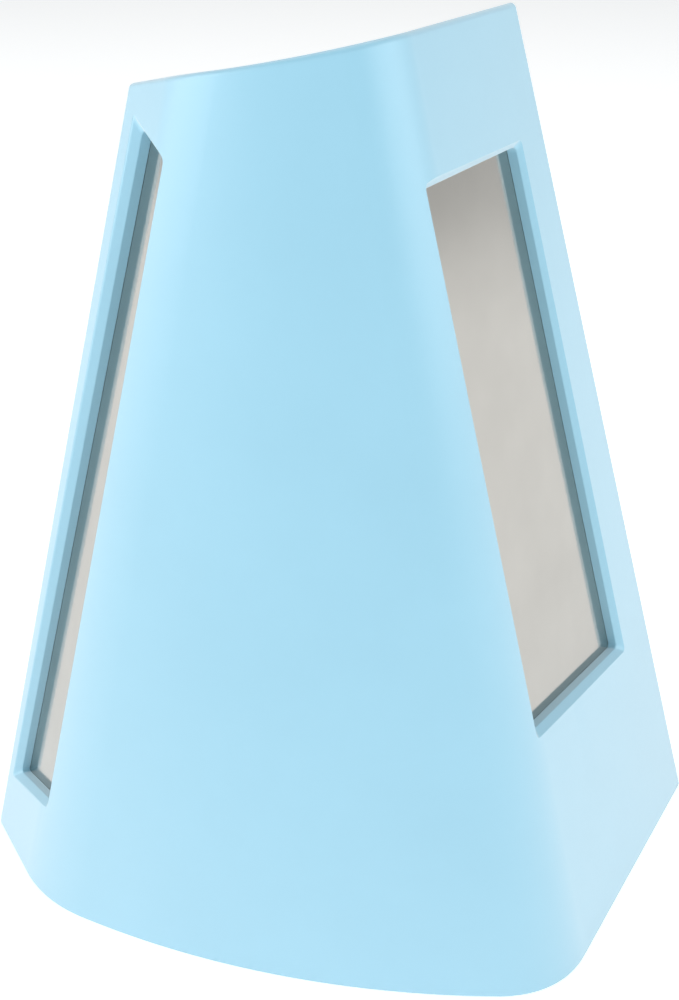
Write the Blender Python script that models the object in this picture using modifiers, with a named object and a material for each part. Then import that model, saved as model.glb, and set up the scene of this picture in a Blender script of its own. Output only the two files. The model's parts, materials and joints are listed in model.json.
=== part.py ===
"""Corner rounder: a small upright press that rounds the corners of paper and card.

A tapered moulded hood stands over a steel press. Two steel plates show through the
windows in the hood's flanks. A thumb lever at the back drives a punch through a die,
and the clippings drop into a drawer in the base.

Frame: metres, +Z up, origin on the floor under the middle of the bounding box. The
hood's face looks towards -Y, and the lever, the paper slot and the drawer are at +Y.
All lengths below are millimetres, measured from the middle of the hood's front edge.
"""
import math

import bmesh
import bpy
from mathutils import Matrix, Vector

MM = 0.001
NAME = "corner_rounder"

# ---- driving dimensions (mm) ---------------------------------------------------------
GAP = 0.3                    # clearance between neighbouring pieces
FLOOR_GAP = 0.1              # the hood's lower edge clears the table by this
CENTRE_Y = 28.7              # the bounding box's middle, behind the hood's front edge

# hood: outer corner points of the lower and upper edges, left to right round the front
HOOD_LOW = [(-34.4, 30.9, 0), (-33.9, 9.1, 0), (-25.0, -0.1, 0), (24.8, 0, 0), (34.6, 31.2, 0)]
HOOD_TOP = [(-13.2, 20.4, 72.0), (-12.25, 6.05, 75.6), (-6.2, 0.3, 77.4), (7.5, 1.6, 80.0),
            (13.1, 20.3, 79.9)]
HOOD_WALL = 2.4
BOW_LOW, BOW_TOP = 3.6, 1.4            # how far the front swells past its corner points
ROUND_LOW = [4.3, 5.4]                 # corner blend lengths, left and right
ROUND_TOP = [2.6, 2.8]

POST = (22.6, 23.5)          # screw posts that tie the hood to the base

# windows: corners on the flank as (distance back from the front corner, height)
WINDOW_RIGHT = [(-2.1, 70.8), (14.0, 70.7), (22.4, 22.0), (2.3, 24.9)]
WINDOW_LEFT = [(-11.2, 71.8), (-5.8, 73.6), (9.7, 7.8), (0.4, 10.3)]
WINDOW_LIP = 1.08                      # thickness of the lip the plate sits behind
WINDOW_BEVEL = 0.6                     # 45 degree bevel round the opening
PLATE = 1.0                            # steel window plates
SEAT_MARGINS = {"right": (1.6, -0.2), "left": (0.7, 0.0)}    # all round, and at the front

# base and drawer
BASE_LOW, BASE_TOP = 0.8, 11.4
REAR_Y = 60.0
TABLE_HALF = 26.5
BAY_HALF, BAY_FRONT, BAY_LOW, BAY_TOP = 10.9, 9.0, 2.4, 9.4
DRAWER_TRAVEL = 30.0

# paper path, from the bottom up
DIE = (11.7, 14.7)
FENCE = (15.0, 16.6)
GUIDE = (16.9, 19.9)
TIP_Y = 15.5                           # where the paper's corner comes to rest
CORNER_R = 5.0                         # radius that the tool cuts
FENCE_FRONT = 7.0
STACK_SCREWS = [(-14, 10.5), (14, 10.5), (-14, 26), (14, 26)]

# press
CHEEK = (7.9, 9.4)                     # inner and outer face of each cheek plate
PIVOT = (8.0, 51.0)                    # lever pivot (y, z)
RAM_Y = 18.0
LEVER_TILT = math.radians(10)          # the resting lever rises towards its tip
DRIVE_Z = PIVOT[1] + (RAM_Y - PIVOT[0]) * math.tan(LEVER_TILT)
PIN_R = 2.0
DRIVE_R = 1.5

# ---- scene helpers -------------------------------------------------------------------
for old in list(bpy.data.objects):
    bpy.data.objects.remove(old, do_unlink=True)

parts = bpy.data.collections.new(NAME)
cutters = bpy.data.collections.new(NAME + "_cutters")
for group in (parts, cutters):
    bpy.context.scene.collection.children.link(group)

origin = bpy.data.objects.new(NAME + "_origin", None)
origin.location = (0, -CENTRE_Y * MM, 0)
parts.objects.link(origin)


def material(name, rgb, rough, metal=0.0):
    mat = bpy.data.materials.new(name)
    mat.use_nodes = True
    shader = mat.node_tree.nodes["Principled BSDF"]
    shader.inputs["Base Color"].default_value = (*rgb, 1)
    shader.inputs["Roughness"].default_value = rough
    shader.inputs["Metallic"].default_value = metal
    return mat


BLUE = material("blue_abs", (0.42, 0.74, 0.88), 0.45)
BLUE_DEEP = material("blue_abs_deep", (0.25, 0.58, 0.76), 0.45)
WHITE = material("white_abs", (0.82, 0.84, 0.85), 0.45)
STEEL = material("brushed_steel", (0.56, 0.55, 0.53), 0.35, 1.0)
TOOL = material("ground_tool_steel", (0.42, 0.42, 0.43), 0.28, 1.0)
ZINC = material("zinc_plated_steel", (0.68, 0.68, 0.66), 0.3, 1.0)
RUBBER = material("grey_rubber", (0.12, 0.13, 0.14), 0.8)


def link(obj, mat, group=parts):
    obj.data.materials.append(mat)
    group.objects.link(obj)
    obj.parent = origin
    return obj


def as_object(name, bm, mat, group=parts):
    """Close a bmesh made in millimetres into an object measured in metres."""
    bmesh.ops.recalc_face_normals(bm, faces=bm.faces)
    bm.transform(Matrix.Scale(MM, 4))
    mesh = bpy.data.meshes.new(name)
    bm.to_mesh(mesh)
    bm.free()
    mesh.shade_smooth()
    mesh.set_sharp_from_angle(angle=math.radians(35))
    return link(bpy.data.objects.new(name, mesh), mat, group)


def hide(obj):
    obj.hide_render = True
    obj.display_type = "WIRE"
    return obj


def boolean(obj, tool, operation="DIFFERENCE"):
    step = obj.modifiers.new(operation.lower(), "BOOLEAN")
    step.operation = operation
    step.solver = "EXACT"
    step.object = tool


def box_bm(low, high, turn=None):
    bm = bmesh.new()
    bmesh.ops.create_cube(bm, size=1)
    size = [b - a for a, b in zip(low, high)]
    centre = [(a + b) / 2 for a, b in zip(low, high)]
    bm.transform(Matrix.Translation(centre) @ Matrix.Diagonal((*size, 1)))
    if turn:
        bm.transform(turn)
    return bm


def box(name, low, high, mat, bevel=0.0, turn=None):
    obj = as_object(name, box_bm(low, high, turn), mat)
    if bevel:
        soften(obj, bevel)
    return obj


def soften(obj, width, segments=2, angle=30):
    step = obj.modifiers.new("bevel", "BEVEL")
    step.width = width * MM
    step.segments = segments
    step.limit_method = "ANGLE"
    step.angle_limit = math.radians(angle)


def box_tool(name, low, high, turn=None):
    return hide(as_object(name, box_bm(low, high, turn), STEEL, cutters))


AXIS_TURN = {"x": Matrix.Rotation(math.radians(90), 4, "Y"),
             "y": Matrix.Rotation(math.radians(-90), 4, "X"),
             "z": Matrix.Identity(4)}


def rod_bm(radius, start, end, centre, axis="z", sides=24):
    """A cylinder along an axis from start to end; centre gives its other two places."""
    bm = bmesh.new()
    bmesh.ops.create_cone(bm, cap_ends=True, segments=sides, radius1=radius,
                          radius2=radius, depth=end - start)
    bm.transform(AXIS_TURN[axis])
    middle = (start + end) / 2
    place = {"x": (middle, *centre), "y": (centre[0], middle, centre[1]),
             "z": (*centre, middle)}[axis]
    bm.transform(Matrix.Translation(place))
    return bm


def rod(name, radius, start, end, centre, mat, axis="z", sides=24):
    return as_object(name, rod_bm(radius, start, end, centre, axis, sides), mat)


def rod_tool(name, radius, start, end, centre, axis="z", sides=24):
    return hide(as_object(name, rod_bm(radius, start, end, centre, axis, sides), STEEL,
                          cutters))


def turned(name, profile, centre, mat, sides=28):
    """Turn a closed (radius, height) profile about an upright axis with Screw."""
    bm = bmesh.new()
    verts = [bm.verts.new((r * MM, 0, z * MM)) for r, z in profile]
    for a, b in zip(verts, verts[1:]):
        bm.edges.new((a, b))
    mesh = bpy.data.meshes.new(name)
    bm.to_mesh(mesh)
    bm.free()
    obj = link(bpy.data.objects.new(name, mesh), mat)
    obj.location = (centre[0] * MM, centre[1] * MM, 0)
    step = obj.modifiers.new("screw", "SCREW")
    step.steps = step.render_steps = sides
    step.use_merge_vertices = True
    step.merge_threshold = 0.00001
    return obj


def arc(centre, radius, start, end, count):
    """Points on a circle from start to end in degrees."""
    angles = [math.radians(start + (end - start) * i / count) for i in range(count + 1)]
    return [(centre[0] + radius * math.cos(a), centre[1] + radius * math.sin(a))
            for a in angles]


def circle(centre, radius, count=20):
    return arc(centre, radius, 0, 360, count)[:-1]


def rounded(points, radii, count=5):
    """A closed outline whose corners are rounded to the given radii."""
    out = []
    total = len(points)
    for i, (point, radius) in enumerate(zip(points, radii)):
        here = Vector(point)
        to_last = (Vector(points[i - 1]) - here).normalized()
        to_next = (Vector(points[(i + 1) % total]) - here).normalized()
        if radius <= 0:
            out.append(tuple(here))
            continue
        half = to_last.angle(to_next) / 2
        reach = radius / math.tan(half)
        centre = here + (to_last + to_next).normalized() * radius / math.sin(half)
        first = here + to_last * reach - centre
        sweep = first.angle_signed(here + to_next * reach - centre)
        for k in range(count + 1):
            turn = Matrix.Rotation(-sweep * k / count, 2)
            out.append(tuple(centre + turn @ first))
    return out


def plate_curve(name, outlines, low, high, mat, plane="xy"):
    """A flat plate cut to closed outlines, the later ones being its holes."""
    curve = bpy.data.curves.new(name, "CURVE")
    curve.dimensions = "2D"
    curve.fill_mode = "BOTH"
    curve.extrude = (high - low) / 2 * MM
    for outline in outlines:
        spline = curve.splines.new("POLY")
        spline.points.add(len(outline) - 1)
        for point, (a, b) in zip(spline.points, outline):
            point.co = (a * MM, b * MM, 0, 1)
        spline.use_cyclic_u = True
    obj = link(bpy.data.objects.new(name, curve), mat)
    middle = (low + high) / 2 * MM
    if plane == "xy":
        obj.location = (0, 0, middle)
    else:                              # outline given as (y, z), thickness along X
        obj.rotation_euler = (math.radians(90), 0, math.radians(90))
        obj.location = (middle, 0, 0)
    return obj


def solid(obj):
    """Turn a plate curve into a mesh object, so that it can be cut or joined."""
    bpy.context.view_layer.update()
    shape = obj.evaluated_get(bpy.context.evaluated_depsgraph_get())
    mesh = bpy.data.meshes.new_from_object(shape)
    bm = bmesh.new()
    bm.from_mesh(mesh)
    bmesh.ops.remove_doubles(bm, verts=bm.verts, dist=0.00001)
    bmesh.ops.recalc_face_normals(bm, faces=bm.faces)
    bm.to_mesh(mesh)
    bm.free()
    fresh = bpy.data.objects.new(obj.name + "_solid", mesh)
    groups = list(obj.users_collection)
    fresh.matrix_world = obj.matrix_world.copy()
    name = obj.name
    bpy.data.objects.remove(obj, do_unlink=True)
    fresh.name = name
    for group in groups:
        group.objects.link(fresh)
    fresh.parent = origin
    fresh.matrix_parent_inverse = origin.matrix_world.inverted()
    return fresh


# ---- hood ----------------------------------------------------------------------------
def blend(a, corner, b, count):
    """Round a corner from point a to point b, with the corner as the middle handle."""
    out = []
    for i in range(count + 1):
        t = i / count
        out.append(a * (1 - t) ** 2 + corner * 2 * t * (1 - t) + b * t ** 2)
    return out


def hood_edge(points, bow, rounds, front_steps=14, corner_steps=5):
    """The hood's edge line: rear left, round the bowed front, to the rear right."""
    rear_l, side_l, front_l, front_r, rear_r = [Vector(p) for p in points]
    across = front_r - front_l
    mid_bow = Vector((across.y, -across.x, 0)).normalized() * bow

    def bowed(t):
        return front_l + across * t + mid_bow * 4 * t * (1 - t)

    def towards(a, b, length):
        return a + (b - a).normalized() * length

    width = across.length
    start, end = rounds[0] / width, 1 - rounds[1] / width
    line = [rear_l, side_l]
    line += blend(towards(front_l, side_l, rounds[0]), front_l, bowed(start), corner_steps)
    for i in range(1, front_steps):
        line.append(bowed(start + (end - start) * i / front_steps))
    line += blend(bowed(end), front_r, towards(front_r, rear_r, rounds[1]), corner_steps)
    line.append(rear_r)
    return line


def hood_rows(steps=3):
    low = hood_edge(HOOD_LOW, BOW_LOW, ROUND_LOW)
    top = hood_edge(HOOD_TOP, BOW_TOP, ROUND_TOP)
    rows = []
    for k in range(steps + 1):
        t = -0.04 + 1.04 * k / steps       # starts below the floor, to be cut level
        rows.append([a.lerp(b, t) for a, b in zip(low, top)])
    return rows


def flank(side):
    """A flank's corner point, backward direction, upward direction and outward normal."""
    i, j = (3, 4) if side == "right" else (2, 1)
    corner = Vector(HOOD_LOW[i])
    back = (Vector(HOOD_LOW[j]) - corner).normalized()
    rise = Vector(HOOD_TOP[i]) - corner
    normal = back.cross(rise).normalized()
    if side == "left":
        normal = -normal
    return corner, back, rise, normal


def flank_point(side, back_by, height, depth=0.0):
    """A point on a flank, sunk below its surface by depth."""
    corner, back, rise, normal = flank(side)
    up = normal.cross(back)
    up *= 1 / up.z
    return corner + back * back_by + up * height - normal * depth


def grown(corners, amount, front=None):
    """A window outline moved outwards; its front side may move by its own amount."""
    pts = [Vector(c) for c in corners]
    steps = [amount, amount, amount, amount if front is None else front]
    sides = []
    for i, here in enumerate(pts):
        along = (pts[(i + 1) % 4] - here).normalized()
        out = Vector((-along.y, along.x))
        sides.append((here + out * steps[i], along))
    moved = []
    for i in range(4):
        (p, d), (q, e) = sides[i - 1], sides[i]
        cross = d.x * e.y - d.y * e.x
        gap = q - p
        moved.append(p + d * ((gap.x * e.y - gap.y * e.x) / cross))
    return moved


def flank_prism(side, outline_a, depth_a, outline_b, depth_b):
    """A four-sided block sunk in a flank, between two outlines at two depths."""
    bm = bmesh.new()
    a = [bm.verts.new(flank_point(side, u, z, depth_a)) for u, z in outline_a]
    b = [bm.verts.new(flank_point(side, u, z, depth_b)) for u, z in outline_b]
    bm.faces.new(a)
    bm.faces.new(b)
    for i in range(4):
        j = (i + 1) % 4
        bm.faces.new((a[i], a[j], b[j], b[i]))
    return bm


def make_hood():
    bm = bmesh.new()
    grid = [[bm.verts.new(p) for p in row] for row in hood_rows()]
    for lower, upper in zip(grid, grid[1:]):
        for i in range(len(lower) - 1):
            bm.faces.new((lower[i], lower[i + 1], upper[i + 1], upper[i]))
    hood = as_object("hood", bm, BLUE)
    step = hood.modifiers.new("wall", "SOLIDIFY")
    step.thickness = HOOD_WALL * MM
    step.offset = -1
    step.use_even_offset = True
    boolean(hood, box_tool("hood_floor_cut", (-50, -20, -20), (50, 50, FLOOR_GAP)))
    for side, window in (("left", WINDOW_LEFT), ("right", WINDOW_RIGHT)):
        inner = grown(window, -WINDOW_BEVEL)
        cut = flank_prism(side, grown(window, 1.0), -1.0, inner, WINDOW_BEVEL)
        boolean(hood, hide(as_object(side + "_window_bevel", cut, STEEL, cutters)))
        cut = flank_prism(side, inner, WINDOW_BEVEL - 0.1, inner, WINDOW_LIP + 0.1)
        boolean(hood, hide(as_object(side + "_window_cut", cut, STEEL, cutters)))
        margin, front = SEAT_MARGINS[side]
        seat = grown(window, margin + GAP, front + GAP)
        cut = flank_prism(side, seat, WINDOW_LIP, seat, HOOD_WALL + 3)
        boolean(hood, hide(as_object(side + "_plate_seat", cut, STEEL, cutters)))
    for x, wall_x in ((-POST[0], -28.1), (POST[0], 26.9)):
        post = rod_tool("hood_post", 3.0, BASE_TOP + GAP, 18.9, (x, POST[1]))
        low, high = sorted((x, wall_x))
        boolean(hood, post, "UNION")
        boolean(hood, box_tool("hood_rib", (low, POST[1] - 1.1, 12.6),
                               (high, POST[1] + 1.1, 18.4)), "UNION")
        boolean(hood, rod_tool("hood_post_bore", 1.3 + GAP, 11, 18.0, (x, POST[1])))
    return hood


def make_window_plate(side, window):
    outline = grown(window, *SEAT_MARGINS[side])
    bm = flank_prism(side, outline, WINDOW_LIP + GAP, outline, WINDOW_LIP + GAP + PLATE)
    return as_object(side + "_window_plate", bm, STEEL)


make_hood()
make_window_plate("left", WINDOW_LEFT)
make_window_plate("right", WINDOW_RIGHT)

# ---- base, feet, drawer --------------------------------------------------------------
BASE_OUTLINE = [(-17.0, 2.6), (17.0, 2.6), (20.6, 4.0), (27.3, 27.0), (TABLE_HALF, 32),
                (TABLE_HALF, REAR_Y), (-TABLE_HALF, REAR_Y), (-TABLE_HALF, 32),
                (-27.3, 27.0), (-27.0, 10.4), (-20.2, 3.4)]
BASE_ROUNDS = [0, 0, 1.5, 2, 2, 7, 7, 2, 2, 2, 1.5]
FOOT_SPOTS = {"front_left": (-16, 8), "front_right": (16, 8), "rear_left": (-19, 52),
              "rear_right": (19, 52)}


def make_base():
    base = solid(plate_curve("base", [rounded(BASE_OUTLINE, BASE_ROUNDS)], BASE_LOW,
                             BASE_TOP, WHITE))
    boolean(base, box_tool("drawer_bay", (-BAY_HALF, BAY_FRONT, BAY_LOW),
                           (BAY_HALF, REAR_Y + 5, BAY_TOP)))
    boolean(base, box_tool("chip_hole", (-5.6, 13.0, BAY_TOP - 1), (5.6, 20.5, 20)))
    for i, spot in enumerate(STACK_SCREWS):
        boolean(base, rod_tool(f"stack_bore_{i}", 1.2 + GAP, 4.5, 20, spot, sides=16))
    for x in (-POST[0], POST[0]):
        spot = (x, POST[1])
        boolean(base, rod_tool("hood_screw_bore", 1.3 + GAP, -1, 20, spot, sides=16))
        boolean(base, rod_tool("hood_screw_sink", 2.6 + GAP, -1, 3.4, spot, sides=20))
    for spot in FOOT_SPOTS.values():
        boolean(base, rod_tool("foot_socket", 3.6 + GAP, -1, 2.0 + GAP, spot))
    return base


def make_foot(name, spot):
    profile = [(0, 2.0), (3.6, 2.0), (3.6, 0.5), (3.1, 0), (0, 0)]
    return turned(name, profile, spot, RUBBER, 24)


def make_drawer():
    """An open tray with a finger pull at its outer end."""
    half = BAY_HALF - GAP - 0.1
    low, high = BAY_LOW + GAP, BAY_TOP - GAP
    drawer = box("chip_drawer", (-half, BAY_FRONT + 0.5, low), (half, REAR_Y + 1.0, high),
                 BLUE_DEEP)
    boolean(drawer, box_tool("drawer_hollow", (1.2 - half, BAY_FRONT + 1.7, low + 1.1),
                             (half - 1.2, REAR_Y - 2.2, high + 1)))
    boolean(drawer, rod_tool("finger_scoop", 3.4, REAR_Y - 1.6, REAR_Y + 4,
                             (0, high + 0.4), axis="y"))
    return drawer


make_base()
for foot, spot in FOOT_SPOTS.items():
    make_foot("foot_" + foot, spot)
make_drawer()


# ---- paper path: die, fence, guide ---------------------------------------------------
def punch_outline(grow=0.0):
    """The punch in plan: a hollow quarter arc that leaves the paper's corner round."""
    centre = (0, TIP_Y + CORNER_R * math.sqrt(2))
    radius = CORNER_R - grow
    edge = arc(centre, radius, -45, -135, 10)
    reach = edge[0][0] + 0.9 + 2 * grow
    drop = edge[0][1] - 0.9
    front = TIP_Y - 1.5 - grow
    return edge + [(-reach, drop), (-reach, front), (reach, front), (reach, drop)]


TABLE_OUTLINE = [(-18, FENCE_FRONT), (18, FENCE_FRONT), (18, 31.5), (TABLE_HALF - 1, 34),
                 (TABLE_HALF - 1, 54), (1 - TABLE_HALF, 54), (1 - TABLE_HALF, 34),
                 (-18, 31.5)]
TABLE_ROUNDS = [1.5, 1.5, 0, 1.5, 5, 5, 1.5, 0]
V_REACH = 16.0
RELIEF = 5.6                           # half-width of the fence's cut-out round the punch


def screw_holes(radius):
    return [circle(spot, radius, 16) for spot in STACK_SCREWS]


def make_paper_path():
    plate_curve("die_plate", [rounded(TABLE_OUTLINE, TABLE_ROUNDS), punch_outline(GAP)]
                + screw_holes(1.2 + GAP), *DIE, TOOL)
    inner_y = TIP_Y + RELIEF
    fence = [(-18, FENCE_FRONT), (18, FENCE_FRONT), (18, TIP_Y + V_REACH),
             (V_REACH, TIP_Y + V_REACH), (RELIEF, inner_y), (RELIEF, TIP_Y - 2.6),
             (-RELIEF, TIP_Y - 2.6), (-RELIEF, inner_y), (-V_REACH, TIP_Y + V_REACH),
             (-18, TIP_Y + V_REACH)]
    plate_curve("fence_plate", [rounded(fence, [1.5, 1.5] + [0] * 8)]
                + screw_holes(1.2 + GAP), *FENCE, STEEL)
    guide = [(-18, FENCE_FRONT), (18, FENCE_FRONT), (18, 30.5), (-18, 30.5)]
    plate_curve("guide_plate", [rounded(guide, [1.5] * 4), punch_outline(GAP)]
                + screw_holes(1.2 + GAP), *GUIDE, STEEL)


make_paper_path()

# ---- chassis -------------------------------------------------------------------------
CHEEK_LOW = GUIDE[1] + GAP
CHEEK_TOP = 63.4
FLANGE_TOP = CHEEK_LOW + 1.5
STOP = (17.0, 60.7)                    # stop pin over the lever (y, z)
STOP_R = 1.2
TIE = (9.0, 31.0)


def make_cheek(name, side):
    outline = rounded([(4.0, CHEEK_LOW), (24.4, CHEEK_LOW), (19.6, CHEEK_TOP),
                       (11.5, CHEEK_TOP), (4.0, 53)], [0, 0, 1.5, 1.5, 4])
    holes = [circle(PIVOT, PIN_R + GAP), circle(STOP, STOP_R + GAP, 16),
             circle(TIE, 1.0 + GAP, 16)]
    low, high = sorted((side * CHEEK[0], side * CHEEK[1]))
    cheek = solid(plate_curve(name, [outline] + holes, low, high, STEEL, "yz"))
    low, high = sorted((side * (CHEEK[1] - 0.6), side * 17.5))
    flange = box_tool(name + "_flange", (low, 7.2, CHEEK_LOW), (high, 29.5, FLANGE_TOP))
    boolean(cheek, flange, "UNION")
    for i, spot in enumerate(STACK_SCREWS):
        if spot[0] * side > 0:
            boolean(cheek, rod_tool(f"{name}_bore_{i}", 1.2 + GAP, CHEEK_LOW - 1,
                                    FLANGE_TOP + 1, spot, sides=16))
    return cheek


def make_guide_block():
    block = box("guide_block", (-7.6, 10.5, CHEEK_LOW), (7.6, 21.5, 25.0), TOOL, 0.4)
    slot = plate_curve("guide_block_slot", [punch_outline(GAP)], 18, 28, STEEL)
    slot = solid(slot)
    parts.objects.unlink(slot)
    cutters.objects.link(slot)
    boolean(block, hide(slot))
    return block


def cap_screw(name, spot, head_z, length, head_r=2.2, shank_r=1.2, head=1.7):
    """A socket screw pointing down, its head resting at head_z."""
    profile = [(0, head_z + head - 1.0), (1.0, head_z + head - 1.0), (1.0, head_z + head),
               (head_r - 0.3, head_z + head), (head_r, head_z + head - 0.3),
               (head_r, head_z), (shank_r, head_z), (shank_r, head_z - length + 0.6),
               (shank_r - 0.5, head_z - length), (0, head_z - length)]
    return turned(name, profile, spot, ZINC, 16)


make_cheek("cheek_left", -1)
make_cheek("cheek_right", 1)
make_guide_block()
for i, spot in enumerate(STACK_SCREWS):
    cap_screw(f"stack_screw_{i + 1}", spot, FLANGE_TOP + GAP, 14.5)
rod("stop_pin", STOP_R, -CHEEK[1] - 0.4, CHEEK[1] + 0.4, STOP, ZINC, "x", 16)
rod("pivot_pin", PIN_R, -CHEEK[1] - 1.6, CHEEK[1] + 1.6, PIVOT, ZINC, "x")
tie = rod("tie_bar", 2.0, -CHEEK[0] + GAP, CHEEK[0] - GAP, TIE, ZINC, "x")
boolean(tie, rod_tool("tie_spigots", 1.0, -CHEEK[1] - 0.4, CHEEK[1] + 0.4, TIE, "x", 16),
        "UNION")
for name, side in (("left", -1), ("right", 1)):
    ring = arc(PIVOT, 3.6, 30, 330, 20) + arc(PIVOT, PIN_R + GAP, 330, 30, 20)
    low, high = sorted((side * (CHEEK[1] + GAP), side * (CHEEK[1] + GAP + 0.7)))
    plate_curve("pivot_clip_" + name, [ring], low, high, ZINC, "yz")


def make_hood_screw(name, x):
    """A flat-headed screw driven up through the base into the hood's post."""
    profile = [(0, 17.6), (0.8, 17.6), (1.3, 16.8), (1.3, 3.1), (2.6, 3.1), (2.6, 1.2),
               (1.1, 1.2), (1.1, 2.2), (0, 2.2)]
    return turned(name, profile, (x, POST[1]), ZINC, 16)


make_hood_screw("hood_screw_left", -POST[0])
make_hood_screw("hood_screw_right", POST[0])

# ---- ram: punch, carrier, drive pin, springs -----------------------------------------
PUNCH_LOW = FENCE[1] + 0.2             # the punch waits just above the paper
PUNCH_TOP = 31.0
CARRIER_TOP = DRIVE_Z + 2.9
WING = (39.0, 41.6)
TANG_Z = 33.6


def make_punch():
    punch = solid(plate_curve("punch", [punch_outline()], PUNCH_LOW, PUNCH_TOP, TOOL))
    tang = box_tool("punch_tang", (-2.2, 14.6, PUNCH_TOP - 1), (2.2, 17.4, 36.0))
    boolean(punch, tang, "UNION")
    boolean(punch, rod_tool("punch_rivet_bore", 0.9 + GAP, -6, 6, (16.0, TANG_Z), "x", 16))
    return punch


def make_carrier():
    carrier = box("punch_carrier", (-4.3, 12.6, PUNCH_TOP + GAP), (4.3, 21.0, CARRIER_TOP),
                  ZINC, 0.4)
    boolean(carrier, box_tool("carrier_wings", (-7.4, 13.4, WING[0]), (7.4, 20.4, WING[1])),
            "UNION")
    boolean(carrier, box_tool("tang_slot", (-2.2 - GAP, 14.6 - GAP, PUNCH_TOP - 1),
                              (2.2 + GAP, 17.4 + GAP, 36.0 + GAP)))
    boolean(carrier, rod_tool("drive_bore", DRIVE_R + GAP, -9, 9, (RAM_Y, DRIVE_Z), "x"))
    boolean(carrier, rod_tool("carrier_rivet_bore", 0.9 + GAP, -9, 9, (16.0, TANG_Z), "x",
                              16))
    return carrier


def make_spring(name, x):
    """A coil spring round an upright axis; its wire is a curve with a bevel."""
    low, high, radius, wire, turns = 25.3 + 0.25, WING[0] - GAP - 0.25, 1.15, 0.25, 8
    curve = bpy.data.curves.new(name, "CURVE")
    curve.dimensions = "3D"
    curve.bevel_depth = wire * MM
    curve.bevel_resolution = 1
    curve.use_fill_caps = True
    spline = curve.splines.new("POLY")
    count = turns * 10
    spline.points.add(count)
    for i, point in enumerate(spline.points):
        angle = math.tau * i / 10
        z = low + (high - low) * i / count
        point.co = ((x + radius * math.cos(angle)) * MM,
                    (17.0 + radius * math.sin(angle)) * MM, z * MM, 1)
    return link(bpy.data.objects.new(name, curve), ZINC)


make_punch()
make_carrier()
rod("punch_rivet", 0.9, -4.2, 4.2, (16.0, TANG_Z), ZINC, "x", 16)
rod("drive_pin", DRIVE_R, -7.3, 7.3, (RAM_Y, DRIVE_Z), TOOL, "x")
make_spring("return_spring_left", -6.15)
make_spring("return_spring_right", 6.15)

# ---- lever ---------------------------------------------------------------------------
ARM_HALF = 7.4
PAD_HALF = 11.0
TILT = Matrix.Translation((0, *PIVOT)) @ Matrix.Rotation(LEVER_TILT, 4, "X")


def make_lever():
    """A moulded channel over the carrier that widens into a thumb pad at the back."""
    arm = [(-4.6, -3.6), (30.0, -4.4), (33.0, -1.2), (52.5, 0.6), (52.5, 4.0), (28, 5.2),
           (12.0, 6.4), (0, 6.4), (-4.6, 3.0)]
    lever = plate_curve("lever", [rounded(arm, [2.0, 2, 3, 1.2, 1.6, 9, 9, 4, 2.5])],
                        -ARM_HALF, ARM_HALF, BLUE_DEEP, "yz")
    lever = solid(lever)
    lever.matrix_world = Matrix.Translation((0, (PIVOT[0] - CENTRE_Y) * MM, PIVOT[1] * MM)) \
        @ Matrix.Rotation(LEVER_TILT, 4, "X") @ Matrix.Rotation(math.radians(90), 4, "Z") \
        @ Matrix.Rotation(math.radians(90), 4, "X")
    pad = box_tool("lever_pad_block", (-PAD_HALF, 31, -0.6), (PAD_HALF, 52.0, 4.2), TILT)
    soften(pad, 1.6, 3)
    boolean(lever, pad, "UNION")
    boolean(lever, box_tool("lever_channel", (-5.2, -9, -9), (5.2, 15.5, 4.2), TILT))
    boolean(lever, box_tool("lever_pad_seat", (-8.6, 35.0, 2.9), (8.6, 50.0, 9), TILT))
    boolean(lever, rod_tool("pivot_bore", PIN_R + GAP, -12, 12, PIVOT, "x"))
    slot = rod_tool("drive_slot", DRIVE_R + 0.45, -12, 12, (RAM_Y, DRIVE_Z), "x")
    boolean(lever, slot)
    return lever


def make_grip():
    grip = box("lever_grip", (-8.6 + GAP, 35.0 + GAP, 2.9 + GAP),
               (8.6 - GAP, 50.0 - GAP, 4.9), RUBBER, 0.5, TILT)
    return grip


make_lever()
make_grip()

# ---- rear panel ----------------------------------------------------------------------
PANEL_LOW, PANEL_HIGH = 24.2, 68.5
PANEL_SLOPE = math.atan2(30.9 - 20.4, 80.0)


def make_rear_panel():
    """The panel that closes the hood behind the press, with an opening for the lever."""
    cosine = math.cos(PANEL_SLOPE)
    low, high = PANEL_LOW / cosine, PANEL_HIGH / cosine
    outline = rounded([(-23.2, low), (23.8, low), (12.2, high), (-10.8, high)], [1.5] * 4)
    opening = rounded([(-8.6, 41), (8.6, 41), (8.6, 65), (-8.6, 65)], [2.0] * 4)
    panel = solid(plate_curve("rear_panel", [outline, opening], 0, 1.8, WHITE))
    panel.matrix_world = Matrix.Translation((0, (29.4 - CENTRE_Y) * MM, 0)) \
        @ Matrix.Rotation(math.radians(90) + PANEL_SLOPE, 4, "X")
    return panel


make_rear_panel()
bpy.context.view_layer.update()
print(NAME, "has", len([o for o in parts.objects if o.type != "EMPTY"]), "pieces")
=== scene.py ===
# %% [markdown]
# # Corner rounder
#
# A corner rounder is a small press that trims the corner of a card or a sheet to a
# neat quarter circle. This one wears a tapered plastic hood, and two steel plates show
# through the windows in the hood's flanks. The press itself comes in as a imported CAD
# model, in metres. This lesson gives each of its pieces a finish, and remodels those
# whose edges a plain solid leaves too hard.
#
# The hood could be kept as the CAD model has it, but it is what everyone looks at, and
# its rim and its window edges want more faces than a solid for simulation needs. So it is
# modelled again here, from the same corner points.

import json
import math

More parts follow.
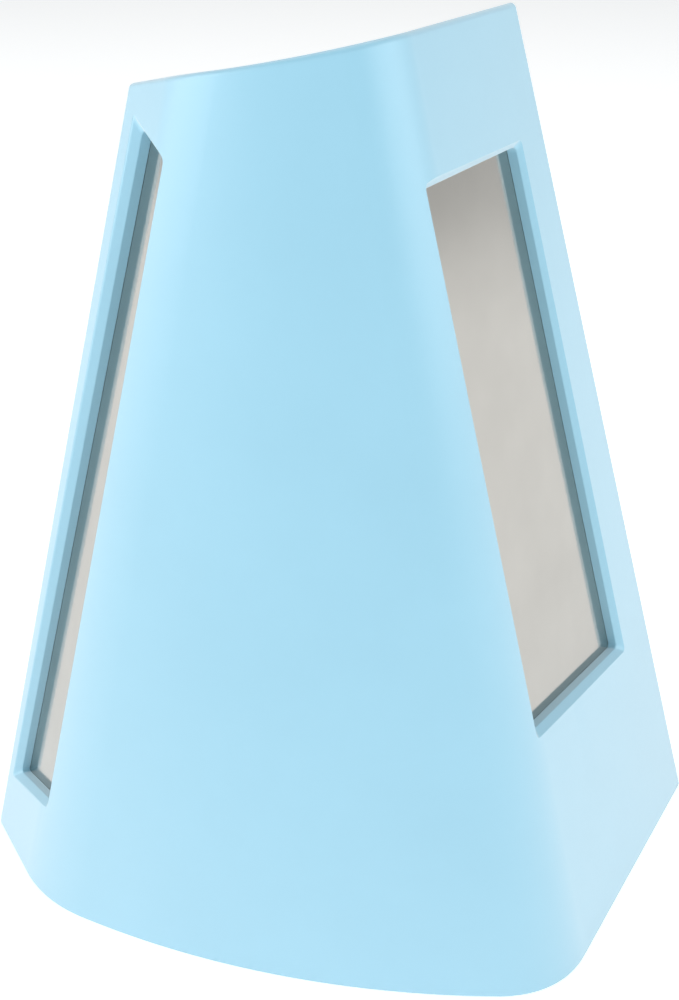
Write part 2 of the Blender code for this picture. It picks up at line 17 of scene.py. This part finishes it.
import bmesh
import bpy
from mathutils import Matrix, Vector


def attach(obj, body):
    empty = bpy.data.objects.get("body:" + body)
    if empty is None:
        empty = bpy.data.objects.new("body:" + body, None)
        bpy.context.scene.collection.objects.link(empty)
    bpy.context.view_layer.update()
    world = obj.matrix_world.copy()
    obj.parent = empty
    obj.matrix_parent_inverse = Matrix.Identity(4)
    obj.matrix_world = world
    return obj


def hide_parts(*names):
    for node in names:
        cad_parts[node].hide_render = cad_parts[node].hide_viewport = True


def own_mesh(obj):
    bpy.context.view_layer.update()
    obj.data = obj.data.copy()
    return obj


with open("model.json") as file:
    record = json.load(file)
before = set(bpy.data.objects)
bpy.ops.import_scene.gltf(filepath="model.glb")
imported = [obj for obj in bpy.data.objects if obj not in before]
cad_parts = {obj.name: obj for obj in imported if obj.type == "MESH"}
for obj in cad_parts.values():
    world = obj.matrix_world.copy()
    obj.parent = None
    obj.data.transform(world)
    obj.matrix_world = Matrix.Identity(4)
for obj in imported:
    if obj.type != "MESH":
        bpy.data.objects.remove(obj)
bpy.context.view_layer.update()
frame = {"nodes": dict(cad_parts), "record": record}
print("nodes:", sorted(frame["nodes"]))

# %% [markdown]
# ## Camera
#
# The camera looks down at the tool from a little above the rim, close enough for the
# upright edges to lean together. A longer lens from further away would keep them more
# upright, and the windows in the flanks would be seen less well. One small function turns
# the millimetres of the drawing into the metres of the model.

# %% Camera
MM = 0.001
CENTRE_Y = 28.7                 # the hood's front edge lies this far before the origin
scene = bpy.context.scene


def place(x, y, z):
    """A point in millimetres, measured from the middle of the hood's front edge."""
    return Vector((x, y - CENTRE_Y, z)) * MM


lens = bpy.data.cameras.new("camera")
lens.sensor_fit = "VERTICAL"
lens.sensor_height = 36
lens.lens = 46.8
lens.clip_start = 0.005
camera = bpy.data.objects.new("camera", lens)
camera.location = place(24.27, -82.75, 93.19)
camera.rotation_euler = (math.radians(90 - 28.3), 0, math.radians(13.43))
scene.collection.objects.link(camera)
scene.camera = camera
print("camera stands at", [round(v * 1000) for v in camera.location], "mm")

# %% [markdown]
# ## Studio
#
# The tool stands on a light table between two large soft boxes, one at each side. The
# light from the front and above is much weaker, so the swelling front is lightest
# towards its edges and darkest where it faces the lens. One small lamp would cast hard
# shadows into the windows. Colours are given as sRGB hex codes, and one function turns
# them into the linear values that a shader takes.

# %% Table, lights and sky
def to_linear(channel):
    return channel / 12.92 if channel <= 0.04045 else ((channel + 0.055) / 1.055) ** 2.4


def colour(code):
    """An sRGB hex colour as the linear values that Blender's sockets take."""
    parts = [int(code[i:i + 2], 16) / 255 for i in (1, 3, 5)]
    return (*[to_linear(part) for part in parts], 1)


def add(material, kind, inputs=None, **settings):
    """Add a node with its settings, and link or set its inputs."""
    node = material.node_tree.nodes.new(kind)
    for name, value in settings.items():
        setattr(node, name, value)
    for name, value in (inputs or {}).items():
        if isinstance(value, bpy.types.NodeSocket):
            material.node_tree.links.new(value, node.inputs[name])
        else:
            node.inputs[name].default_value = value
    return node


AIM = Vector((0, 0, 0.04))      # the soft boxes point at the middle of the tool


def soft_box(name, spot, size, power):
    """A rectangular studio light that faces the tool."""
    light = bpy.data.lights.new(name, "AREA")
    light.shape = "RECTANGLE"
    light.size, light.size_y = size
    light.energy = power
    lamp = bpy.data.objects.new(name, light)
    lamp.location = spot
    lamp.rotation_euler = (AIM - Vector(spot)).to_track_quat("-Z", "Y").to_euler()
    scene.collection.objects.link(lamp)


scene.view_settings.view_transform = "Standard"
soft_box("left_soft_box", (-0.55, -0.30, 0.2), (0.7, 0.6), 3.5)
soft_box("right_soft_box", (0.6, -0.12, 0.2), (0.6, 0.6), 2.6)
soft_box("front_soft_box", (0.1, -0.8, 0.3), (0.8, 0.5), 1.1)
soft_box("top_soft_box", (0.0, 0.15, 0.7), (0.7, 0.7), 1.2)

sky = bpy.data.worlds.new("studio")
sky.use_nodes = True
air = sky.node_tree.nodes["Background"].inputs
air["Color"].default_value = colour("#F4F7F9")
air["Strength"].default_value = 0.42
scene.world = sky

table_paint = bpy.data.materials.new("white_table_laminate")
table_paint.use_nodes = True
paint = table_paint.node_tree.nodes["Principled BSDF"].inputs
paint["Base Color"].default_value = colour("#F7F8F8")
paint["Roughness"].default_value = 0.6
paint["Emission Color"].default_value = colour("#FFFFFF")
paint["Emission Strength"].default_value = 0.36       # lit from below

sheet = bmesh.new()
bmesh.ops.create_grid(sheet, x_segments=1, y_segments=1, size=2.0)
floor_mesh = bpy.data.meshes.new("floor")
sheet.to_mesh(floor_mesh)
sheet.free()
floor_mesh.materials.append(table_paint)
floor = bpy.data.objects.new("floor", floor_mesh)
scene.collection.objects.link(floor)

# %% [markdown]
# ## Finishes
#
# Three plastics, five steels and a rubber cover the whole tool. Each finish is built
# the same way: a fine noise for the grain that the mould, the grinder or the rolling
# mill left, and a broad noise for the small drift in tone that keeps a large face from
# looking printed. Scales come from real sizes, so one helper turns a size in
# millimetres into a texture scale. A single flat colour would be simpler, but a large
# smooth moulding would then look drawn rather than made.

# %% Plastics
def per_mm(size):
    """The texture scale whose features are this many millimetres across."""
    return 1.0 / (size * MM)


def noise(material, size, detail=2.0, roughness=0.5, stretch=(1, 1, 1)):
    """A noise whose features are about size millimetres, in the piece's own place."""
    where = add(material, "ShaderNodeTexCoord")
    squeeze = add(material, "ShaderNodeMapping",
                  {"Vector": where.outputs["Object"], "Scale": stretch})
    return add(material, "ShaderNodeTexNoise",
               {"Vector": squeeze.outputs["Vector"], "Scale": per_mm(size),
                "Detail": detail, "Roughness": roughness})


def between(material, value, low, high):
    """Spread a noise value from low to high."""
    return add(material, "ShaderNodeMapRange",
               {"Value": value, "From Min": 0.3, "From Max": 0.7, "To Min": low,
                "To Max": high}).outputs["Result"]


def finish(name, light, dark, rough, metallic=0.0, grain=0.3, grain_depth=0.004,
           drift=14.0, stretch=(1, 1, 1), bloom=0.0, gloss=0.5):
    """A surface with drifting tone, uneven roughness and a fine grain.

    The sizes of grain and drift and the depth of the grain are in millimetres. Bloom is
    the pale veil that a satin moulding shows where it is seen at a glancing angle.
    """
    material = bpy.data.materials.new(name)
    material.use_nodes = True
    shader = material.node_tree.nodes["Principled BSDF"]
    links = material.node_tree.links
    broad = noise(material, drift, 3.0, 0.55, stretch)
    tone = add(material, "ShaderNodeValToRGB",
               {"Fac": between(material, broad.outputs["Fac"], 0, 1)})
    tone.color_ramp.elements[0].color = colour(dark)
    tone.color_ramp.elements[1].color = colour(light)
    links.new(tone.outputs["Color"], shader.inputs["Base Color"])
    fine = noise(material, grain, 2.0, 0.6, stretch)
    links.new(between(material, fine.outputs["Fac"], rough - 0.03, rough + 0.03),
              shader.inputs["Roughness"])
    bump = add(material, "ShaderNodeBump",
               {"Strength": 0.35, "Distance": grain_depth * MM,
                "Height": fine.outputs["Fac"]})
    links.new(bump.outputs["Normal"], shader.inputs["Normal"])
    shader.inputs["Metallic"].default_value = metallic
    shader.inputs["Specular IOR Level"].default_value = gloss
    shader.inputs["Sheen Weight"].default_value = bloom
    shader.inputs["Sheen Roughness"].default_value = 0.5
    return material


# ABS moulded against a spark-eroded tool: a satin skin whose grain is about 0.1 mm,
# drawn a little coarser so that it shows
SKY_BLUE_ABS = finish("sky_blue_moulded_abs", "#88BFD5", "#85BCD2", 0.40,
                      bloom=1.0, gloss=0.9)
DEEP_BLUE_ABS = finish("deep_blue_moulded_abs", "#66A6C6", "#60A0C0", 0.42)
WHITE_ABS = finish("white_moulded_abs", "#E7EBEC", "#E2E6E8", 0.42)
# nitrile rubber straight from the mould: dull, with a slightly coarser grain
GREY_RUBBER = finish("grey_moulded_rubber", "#54585B", "#4B4F52", 0.75, grain=0.4,
                     grain_depth=0.01)
print("plastics:", [m.name for m in (SKY_BLUE_ABS, DEEP_BLUE_ABS, WHITE_ABS, GREY_RUBBER)])

# %% [markdown]
# ## Steels
#
# Metal has no colour of its own apart from its reflections, so the steels differ in
# roughness, in tone and in the direction of their grain. Rolled and ground stock is drawn
# with a noise that is squeezed along one axis, which leaves lines as the mill or the wheel
# does. An anisotropic shader could make the same streaks, but only in the highlights.

# %% Steels
# bead-blasted stainless plate: soft and even, with a faint cloudiness
BLASTED_STEEL = finish("bead_blasted_stainless", "#BDBAB4", "#B6B3AD", 0.10, metallic=1.0,
                       grain=0.25, grain_depth=0.006, drift=9.0)
# cold-rolled sheet keeps fine lines along the rolling direction
ROLLED_STEEL = finish("rolled_sheet_steel", "#BDBDBB", "#B2B2B1", 0.3, metallic=1.0,
                      grain=0.5, grain_depth=0.006, drift=12.0, stretch=(8, 1, 1))
# ground tool steel: shorter scratches and a darker tone
GROUND_STEEL = finish("surface_ground_steel", "#9C9DA0", "#8F9093", 0.24, metallic=1.0,
                      grain=0.35, grain_depth=0.004, drift=8.0, stretch=(1, 6, 1))
# bright zinc plate over turned steel
ZINC_PLATE = finish("bright_zinc_plate", "#C9CCCE", "#BEC2C6", 0.25, metallic=1.0,
                    grain=0.3, grain_depth=0.003, drift=4.0)
# drawn spring wire, oiled
SPRING_WIRE = finish("drawn_spring_wire", "#C2C2C0", "#B4B4B3", 0.22, metallic=1.0,
                     grain=0.2, grain_depth=0.003, drift=3.0)
print("steels:", [m.name for m in (BLASTED_STEEL, ROLLED_STEEL, GROUND_STEEL, ZINC_PLATE,
                                   SPRING_WIRE)])

# %% [markdown]
# ## The hood: its edge curves
#
# The hood is one moulding about 2.4 mm thick: a swelling front, two flat flanks that
# lean in, and a short wall behind the left flank. Its lower and upper edges are
# different curves, and straight lines join them. Both curves run through a few corner
# points, with a bow across the front and a soft bend at each corner. A block could be
# tapered and hollowed instead, but its rim would not rise to the right, and its corners
# would not tighten towards the top.

# %% Edge curves of the hood
LOW = [(-34.4, 30.9, 0), (-33.9, 9.1, 0), (-25.0, -0.1, 0), (24.8, 0, 0), (34.6, 31.2, 0)]
TOP = [(-13.2, 20.4, 72.0), (-12.25, 6.05, 75.6), (-6.2, 0.3, 77.4), (7.5, 1.6, 80.0),
       (13.1, 20.3, 79.9)]
WALL = 2.4
FLOOR_GAP = 0.1                 # keeps the lower edge just clear of the table
BOW_LOW, BOW_TOP = 3.6, 1.4     # how far the front swells past its corner points


def bend(a, corner, b, count):
    """Round a corner from a to b, with the corner itself as the handle."""
    steps = [i / count for i in range(count + 1)]
    return [a * (1 - t) ** 2 + corner * 2 * t * (1 - t) + b * t ** 2 for t in steps]


def towards(a, b, length):
    return a + (b - a).normalized() * length


def edge_curve(points, bow, rounds):
    """From the rear left corner, round the bowed front, to the rear right corner.

    Rounds are the lengths that the three bends take off the sides beside them.
    """
    rear_l, side_l, front_l, front_r, rear_r = [Vector(p) for p in points]
    across = front_r - front_l
    out = Vector((across.y, -across.x, 0)).normalized() * bow
    start, end = rounds[1] / across.length, 1 - rounds[2] / across.length

    def bowed(t):
        return front_l + across * t + out * 4 * t * (1 - t)

    line = [rear_l.lerp(towards(side_l, rear_l, rounds[0]), i / 6) for i in range(6)]
    line += bend(towards(side_l, rear_l, rounds[0]), side_l,
                 towards(side_l, front_l, rounds[0]), 8)
    line += bend(towards(front_l, side_l, rounds[1]), front_l, bowed(start), 16)
    line += [bowed(start + (end - start) * i / 56) for i in range(1, 56)]
    line += bend(bowed(end), front_r, towards(front_r, rear_r, rounds[2]), 20)
    last = line[-1]
    line += [last.lerp(rear_r, i / 8) for i in range(1, 9)]
    return line


def moved_in(points, depth):
    """The corner points of the wall's inner face, which lies depth inside the outer."""
    pts = [Vector(p) for p in points]
    inner = []
    for i, here in enumerate(pts):
        a = (here - pts[i - 1] if i else pts[1] - here).xy.normalized()
        b = (pts[i + 1] - here if i < len(pts) - 1 else here - pts[i - 1]).xy.normalized()
        into = Vector((-a.y, a.x)) + Vector((-b.y, b.x))
        step = into * depth / (1 + a.dot(b))
        inner.append((here.x + step.x, here.y + step.y, here.z))
    return inner


outer_low = edge_curve(LOW, BOW_LOW, [0.5, 4.3, 5.4])
outer_top = edge_curve(TOP, BOW_TOP, [0.4, 2.6, 2.8])
inner_low = edge_curve(moved_in(LOW, WALL), BOW_LOW, [0.1, 3.5, 3.6])
inner_top = edge_curve(moved_in(TOP, WALL), BOW_TOP, [0.1, 1.6, 1.0])
print("stops along the hood:", len(outer_low))

# %% [markdown]
# ## The hood: its wall
#
# A ring of points that outlines the wall's cross-section is walked along both curves and
# extruded at each stop. The rim is rounded outside and falls away inside, and the lower
# edge has a small rounding too, so both catch a thin line of light. A thickness modifier
# on a plain skin would be shorter, but it would leave the rim square.

# %% Walk the wall's section along the curves
def wall_section(i):
    """Points round the wall at one stop: up the outside, over the rim, down inside."""
    top = outer_top[i].z

    def at(height, depth):
        outside = outer_low[i].lerp(outer_top[i], height / top)
        inside = inner_low[i].lerp(inner_top[i], height / top)
        return outside.lerp(inside, depth / WALL)

    soft, low = 0.35, FLOOR_GAP     # the radius of the rim, and the lower edge
    points = [at(low, 0.15), at(low + 0.04, 0.04), at(low + 0.15, 0)]
    points += [at(top * k / 6, 0) for k in range(1, 6)]
    # the rim is rounded outside and falls away inside
    points += [at(top - soft, 0), at(top - soft * 0.65, soft * 0.06),
               at(top - soft * 0.3, soft * 0.3), at(top - soft * 0.06, soft * 0.65),
               at(top, soft), at(top - 0.15, soft * 2), at(top - 0.6, WALL - 0.3),
               at(top - 0.9, WALL)]
    points += [at(top * k / 6, WALL) for k in range(5, 0, -1)]
    points += [at(low + 0.3, WALL), at(low, WALL - 0.3)]
    return [place(*p) for p in points]


def walk(bm, sections):
    """Extrude a closed ring of points from each section to the next, and cap the ends."""
    ring = [bm.verts.new(p) for p in sections[0]]
    edges = [bm.edges.new(pair) for pair in zip(ring, ring[1:] + ring[:1])]
    first = list(edges)
    for section in sections[1:]:
        made = bmesh.ops.extrude_edge_only(bm, edges=edges)["geom"]
        fresh = {g for g in made if isinstance(g, bmesh.types.BMVert)}
        edges = [g for g in made if isinstance(g, bmesh.types.BMEdge)
                 and fresh.issuperset(g.verts)]
        ring = [next(e.other_vert(vert) for e in vert.link_edges
                     if e.other_vert(vert) in fresh) for vert in ring]
        for vert, point in zip(ring, section):
            vert.co = point
    for end in (first, edges):
        bmesh.ops.contextual_create(bm, geom=end)
    bmesh.ops.recalc_face_normals(bm, faces=bm.faces)


def as_piece(name, bm, material):
    """Turn a bmesh into a piece that sits at the origin, and empty the bmesh."""
    mesh = bpy.data.meshes.new(name)
    bm.to_mesh(mesh)
    bm.free()
    mesh.materials.append(material)
    piece = bpy.data.objects.new(name, mesh)
    scene.collection.objects.link(piece)
    return piece


hood_bm = bmesh.new()
walk(hood_bm, [wall_section(i) for i in range(len(outer_low))])
hood = as_piece("hood_shell", hood_bm, SKY_BLUE_ABS)
print("hood shell:", len(hood.data.polygons), "faces")

# %% [markdown]
# ## The windows: places on a flank
#
# Each flank has a window with a bevelled edge, and a shallow seat behind it for the
# steel plate. Both lie parallel to the flank, so their corners are given in the flank's
# own plane: how far back, how high and how deep. A cutter could be turned into place
# with angles instead, but it would have to be turned again whenever a corner of the hood
# moves.

# %% Places on a flank
WINDOWS = {"right": [(-2.1, 70.8), (14.0, 70.7), (22.4, 22.0), (2.3, 24.9)],
           "left": [(-11.2, 71.8), (-5.8, 73.6), (9.7, 7.8), (0.4, 10.3)]}
SEATS = {"right": (1.6, -0.2), "left": (0.7, 0.0)}     # margin all round, and in front
LIP = 1.36                      # thickness left in front of the plate
SEAT_END = 6                    # the seat is open towards the inside
PLATE_GAP = 0.3


def flank(side):
    """A flank's lower front corner, its backward direction and its outward normal."""
    i, j, sign = (3, 4, 1) if side == "right" else (2, 1, -1)
    corner = Vector(LOW[i])
    back = (Vector(LOW[j]) - corner).normalized()
    return corner, back, back.cross(Vector(TOP[i]) - corner).normalized() * sign


def on_flank(side, back_by, height, depth):
    """A point on a flank: so far back, so high, and sunk so deep below the surface."""
    corner, back, out = flank(side)
    up = out.cross(back)
    return place(*(corner + back * back_by + up / up.z * height - out * depth))


def outline(window, amount, front=None):
    """The window's four corners, with each side moved outwards."""
    pts = [Vector(c) for c in window]
    steps = [amount, amount, amount, amount if front is None else front]
    sides = []
    for i, here in enumerate(pts):
        along = (pts[(i + 1) % 4] - here).normalized()
        sides.append((here + Vector((-along.y, along.x)) * steps[i], along))
    moved = []
    for i in range(4):
        (p, d), (q, e) = sides[i - 1], sides[i]
        gap = q - p
        moved.append(p + d * ((gap.x * e.y - gap.y * e.x) / (d.x * e.y - d.y * e.x)))
    return moved


def softened(corners, radius, count=6):
    """The outline with small rounded corners."""
    rounded = []
    for i, here in enumerate(corners):
        a, b = corners[i - 1], corners[(i + 1) % 4]
        rounded += bend(towards(here, a, radius), here, towards(here, b, radius), count)
    return rounded


for side in WINDOWS:
    lean = math.degrees(math.asin(flank(side)[2].z))
    print(side, "flank leans in by", round(lean, 1), "degrees")

# %% [markdown]
# ## The windows: cutting
#
# The opening is cut by a flared block, whose slightly rounded mouth leaves a soft edge
# that catches the light. A second, wider block cuts the seat from inside. The edges could
# be bevelled after a plain cut, but a bevel struggles where a new edge crosses the many
# faces of the wall, and a shaped cutter does not.

# %% Cut the openings and their seats
def with_block(piece, name, sections, operation="DIFFERENCE"):
    """Cut away a block that is walked through the given outlines, or join it on."""
    bm = bmesh.new()
    walk(bm, sections)
    tool = as_piece(name, bm, SKY_BLUE_ABS)
    step = piece.modifiers.new(name, "BOOLEAN")
    step.solver = "EXACT"
    step.operation = operation
    step.object = tool
    return tool


def settle(piece, helpers):
    """Make a piece's modifiers part of its mesh, then clear away what shaped it."""
    bpy.context.view_layer.update()
    shaped = bpy.data.meshes.new_from_object(
        piece.evaluated_get(bpy.context.evaluated_depsgraph_get()))
    shaped.name = piece.name
    piece.modifiers.clear()
    piece.data = shaped
    for helper in helpers:
        bpy.data.objects.remove(helper, do_unlink=True)


# how deep below the flank, and how far outside the window's outline
MOUTH = [(-1.2, 0.6), (-0.01, 0.13), (0.01, 0.06), (0.03, 0.0), (0.09, -0.08),
         (0.52, -0.51), (0.57, -0.57), (0.64, -0.6), (1.5, -0.6)]
CORNER = 0.5                    # radius of the window's corners
tools = []
for side, window in WINDOWS.items():
    rings = [[on_flank(side, u, z, depth)
              for u, z in softened(outline(window, grow), CORNER)] for depth, grow in MOUTH]
    tools.append(with_block(hood, side + "_window_block", rings))
    margin, front = SEATS[side]
    seat = outline(window, margin + PLATE_GAP, front + PLATE_GAP)
    rings = [[on_flank(side, u, z, depth) for u, z in seat] for depth in (LIP, SEAT_END)]
    tools.append(with_block(hood, side + "_seat_block", rings))
settle(hood, tools)
print("hood with windows:", len(hood.data.polygons), "faces")

# %% [markdown]
# ## The screw posts
#
# Inside each flank stands a short post with a rib, and a screw comes up through the base
# into it. Post and rib are joined to the shell, and the bore is cut afterwards, because a
# bore cut first would be filled again by the rib. The posts could be separate pieces, but
# a moulded hood has them in one with its wall.

# %% Posts, ribs and bores
POST_X, POST_Y, POST_R, BORE_R = 22.6, 23.5, 3.0, 1.6
POST_ENDS, RIB_ENDS, BORE_ENDS = (11.7, 18.9), (12.6, 18.4), (11, 18)
RIB_HALF = 1.1
RIB_FROM_WALL = {-1: -28.1, 1: 26.9}    # where each rib starts, inside the wall


def circle(x, y, z, radius, count=24):
    turns = [i * math.tau / count for i in range(count)]
    return [place(x + radius * math.cos(a), y + radius * math.sin(a), z) for a in turns]


def oblong(x0, x1, y0, y1, z):
    return [place(x0, y0, z), place(x1, y0, z), place(x1, y1, z), place(x0, y1, z)]


tools = []
for side, wall_x in RIB_FROM_WALL.items():
    x = side * POST_X
    left, right = sorted((x, wall_x))
    post = [circle(x, POST_Y, z, POST_R) for z in POST_ENDS]
    rib = [oblong(left, right, POST_Y - RIB_HALF, POST_Y + RIB_HALF, z) for z in RIB_ENDS]
    bore = [circle(x, POST_Y, z, BORE_R) for z in BORE_ENDS]
    tools.append(with_block(hood, "screw_post", post, "UNION"))
    tools.append(with_block(hood, "post_rib", rib, "UNION"))
    tools.append(with_block(hood, "post_bore", bore))
settle(hood, tools)
hood.data.shade_smooth()
hood.data.set_sharp_from_angle(angle=math.radians(30))
even = hood.modifiers.new("even_shading", "WEIGHTED_NORMAL")
even.keep_sharp = True
print("finished hood:", len(hood.data.polygons), "faces")

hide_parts("hood")
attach(hood, "press")

# %% [markdown]
# ## The pieces of the press
#
# A plain solid has razor edges, and a real press has none: sheet steel is tumbled,
# mouldings have a radius and turned pins are chamfered. So each remaining piece is
# copied, its flat faces are joined up, and its sharp edges are eased by the width that
# suits its stock. Edges beside a very short edge are left alone, because a round there
# would fold over itself. The coil springs have round wire and nothing to ease.

# %% Ease the pieces of the press
STOCK = {"satin_steel": BLASTED_STEEL, "sheet_steel": ROLLED_STEEL,
         "ground_tool_steel": GROUND_STEEL, "zinc_plated_steel": ZINC_PLATE,
         "grey_rubber": GREY_RUBBER, "white_abs": WHITE_ABS,
         "deep_blue_abs": DEEP_BLUE_ABS}
# how much each stock's edges are eased, in millimetres
EASE = {"satin_steel": 0.12, "sheet_steel": 0.12, "ground_tool_steel": 0.1,
        "zinc_plated_steel": 0.12, "grey_rubber": 0.3, "white_abs": 0.3,
        "deep_blue_abs": 0.35}
BODY = {node: body for body, nodes in frame["record"]["behaviour"]["bodies"].items()
        for node in nodes}
MERGE = 0.001                   # points closer than this, in millimetres, are one point
FLAT = math.radians(1)          # faces that turn by less are one flat face
SHARP = math.radians(42)        # edges that turn by less are part of a curve
CLEAR = 1.6                     # an edge shorter than this many widths can't be eased


def eased(node, name, width, material):
    """A copy of a CAD piece whose sharp edges are rounded by width millimetres."""
    bm = bmesh.new()
    bm.from_mesh(node.data)
    bmesh.ops.remove_doubles(bm, verts=bm.verts, dist=MERGE * MM)
    bmesh.ops.dissolve_limit(bm, angle_limit=FLAT, verts=bm.verts, edges=bm.edges)
    tight = {v for e in bm.edges if e.calc_length() < CLEAR * width * MM for v in e.verts}
    sharp = [e for e in bm.edges
             if e.calc_face_angle() > SHARP and not tight.intersection(e.verts)]
    bmesh.ops.bevel(bm, geom=sharp, offset=width * MM, affect="EDGES", segments=2,
                    profile=0.5, clamp_overlap=True, material=-1)
    piece = as_piece(name, bm, material)
    piece.data.shade_smooth()
    piece.data.set_sharp_from_angle(angle=math.radians(35))
    shade = piece.modifiers.new("even_shading", "WEIGHTED_NORMAL")
    shade.keep_sharp = True
    return piece


eased_pieces = []
for part in frame["record"]["subparts"]:
    name, stock = part["node"], part["material_slot"]
    if stock in EASE:
        piece = eased(frame["nodes"][name], name + "_eased", EASE[stock], STOCK[stock])
        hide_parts(name)
        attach(piece, BODY[name])
        eased_pieces.append(piece)
print("eased", len(eased_pieces), "pieces out of", len(frame["nodes"]))

# %% [markdown]
# ## The return springs
#
# Two coil springs lift the ram. Each stands on the guide block and bears against a wing
# of the carrier, so its top has to follow the ram down while its foot stays. Each coil is
# copied with its doubled points merged, given the drawn spring wire and smooth shading,
# and hung from the body it belongs to, with a mesh of its own. It keeps the length it is
# modelled at.

# %% Return springs
for name in ("return_spring_left", "return_spring_right"):
    wire = bmesh.new()
    wire.from_mesh(frame["nodes"][name].data)
    bmesh.ops.remove_doubles(wire, verts=wire.verts, dist=MERGE * MM)
    coil = as_piece(name + "_coil", wire, SPRING_WIRE)
    coil.data.shade_smooth()
    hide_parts(name)
    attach(coil, BODY[name])
    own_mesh(coil)
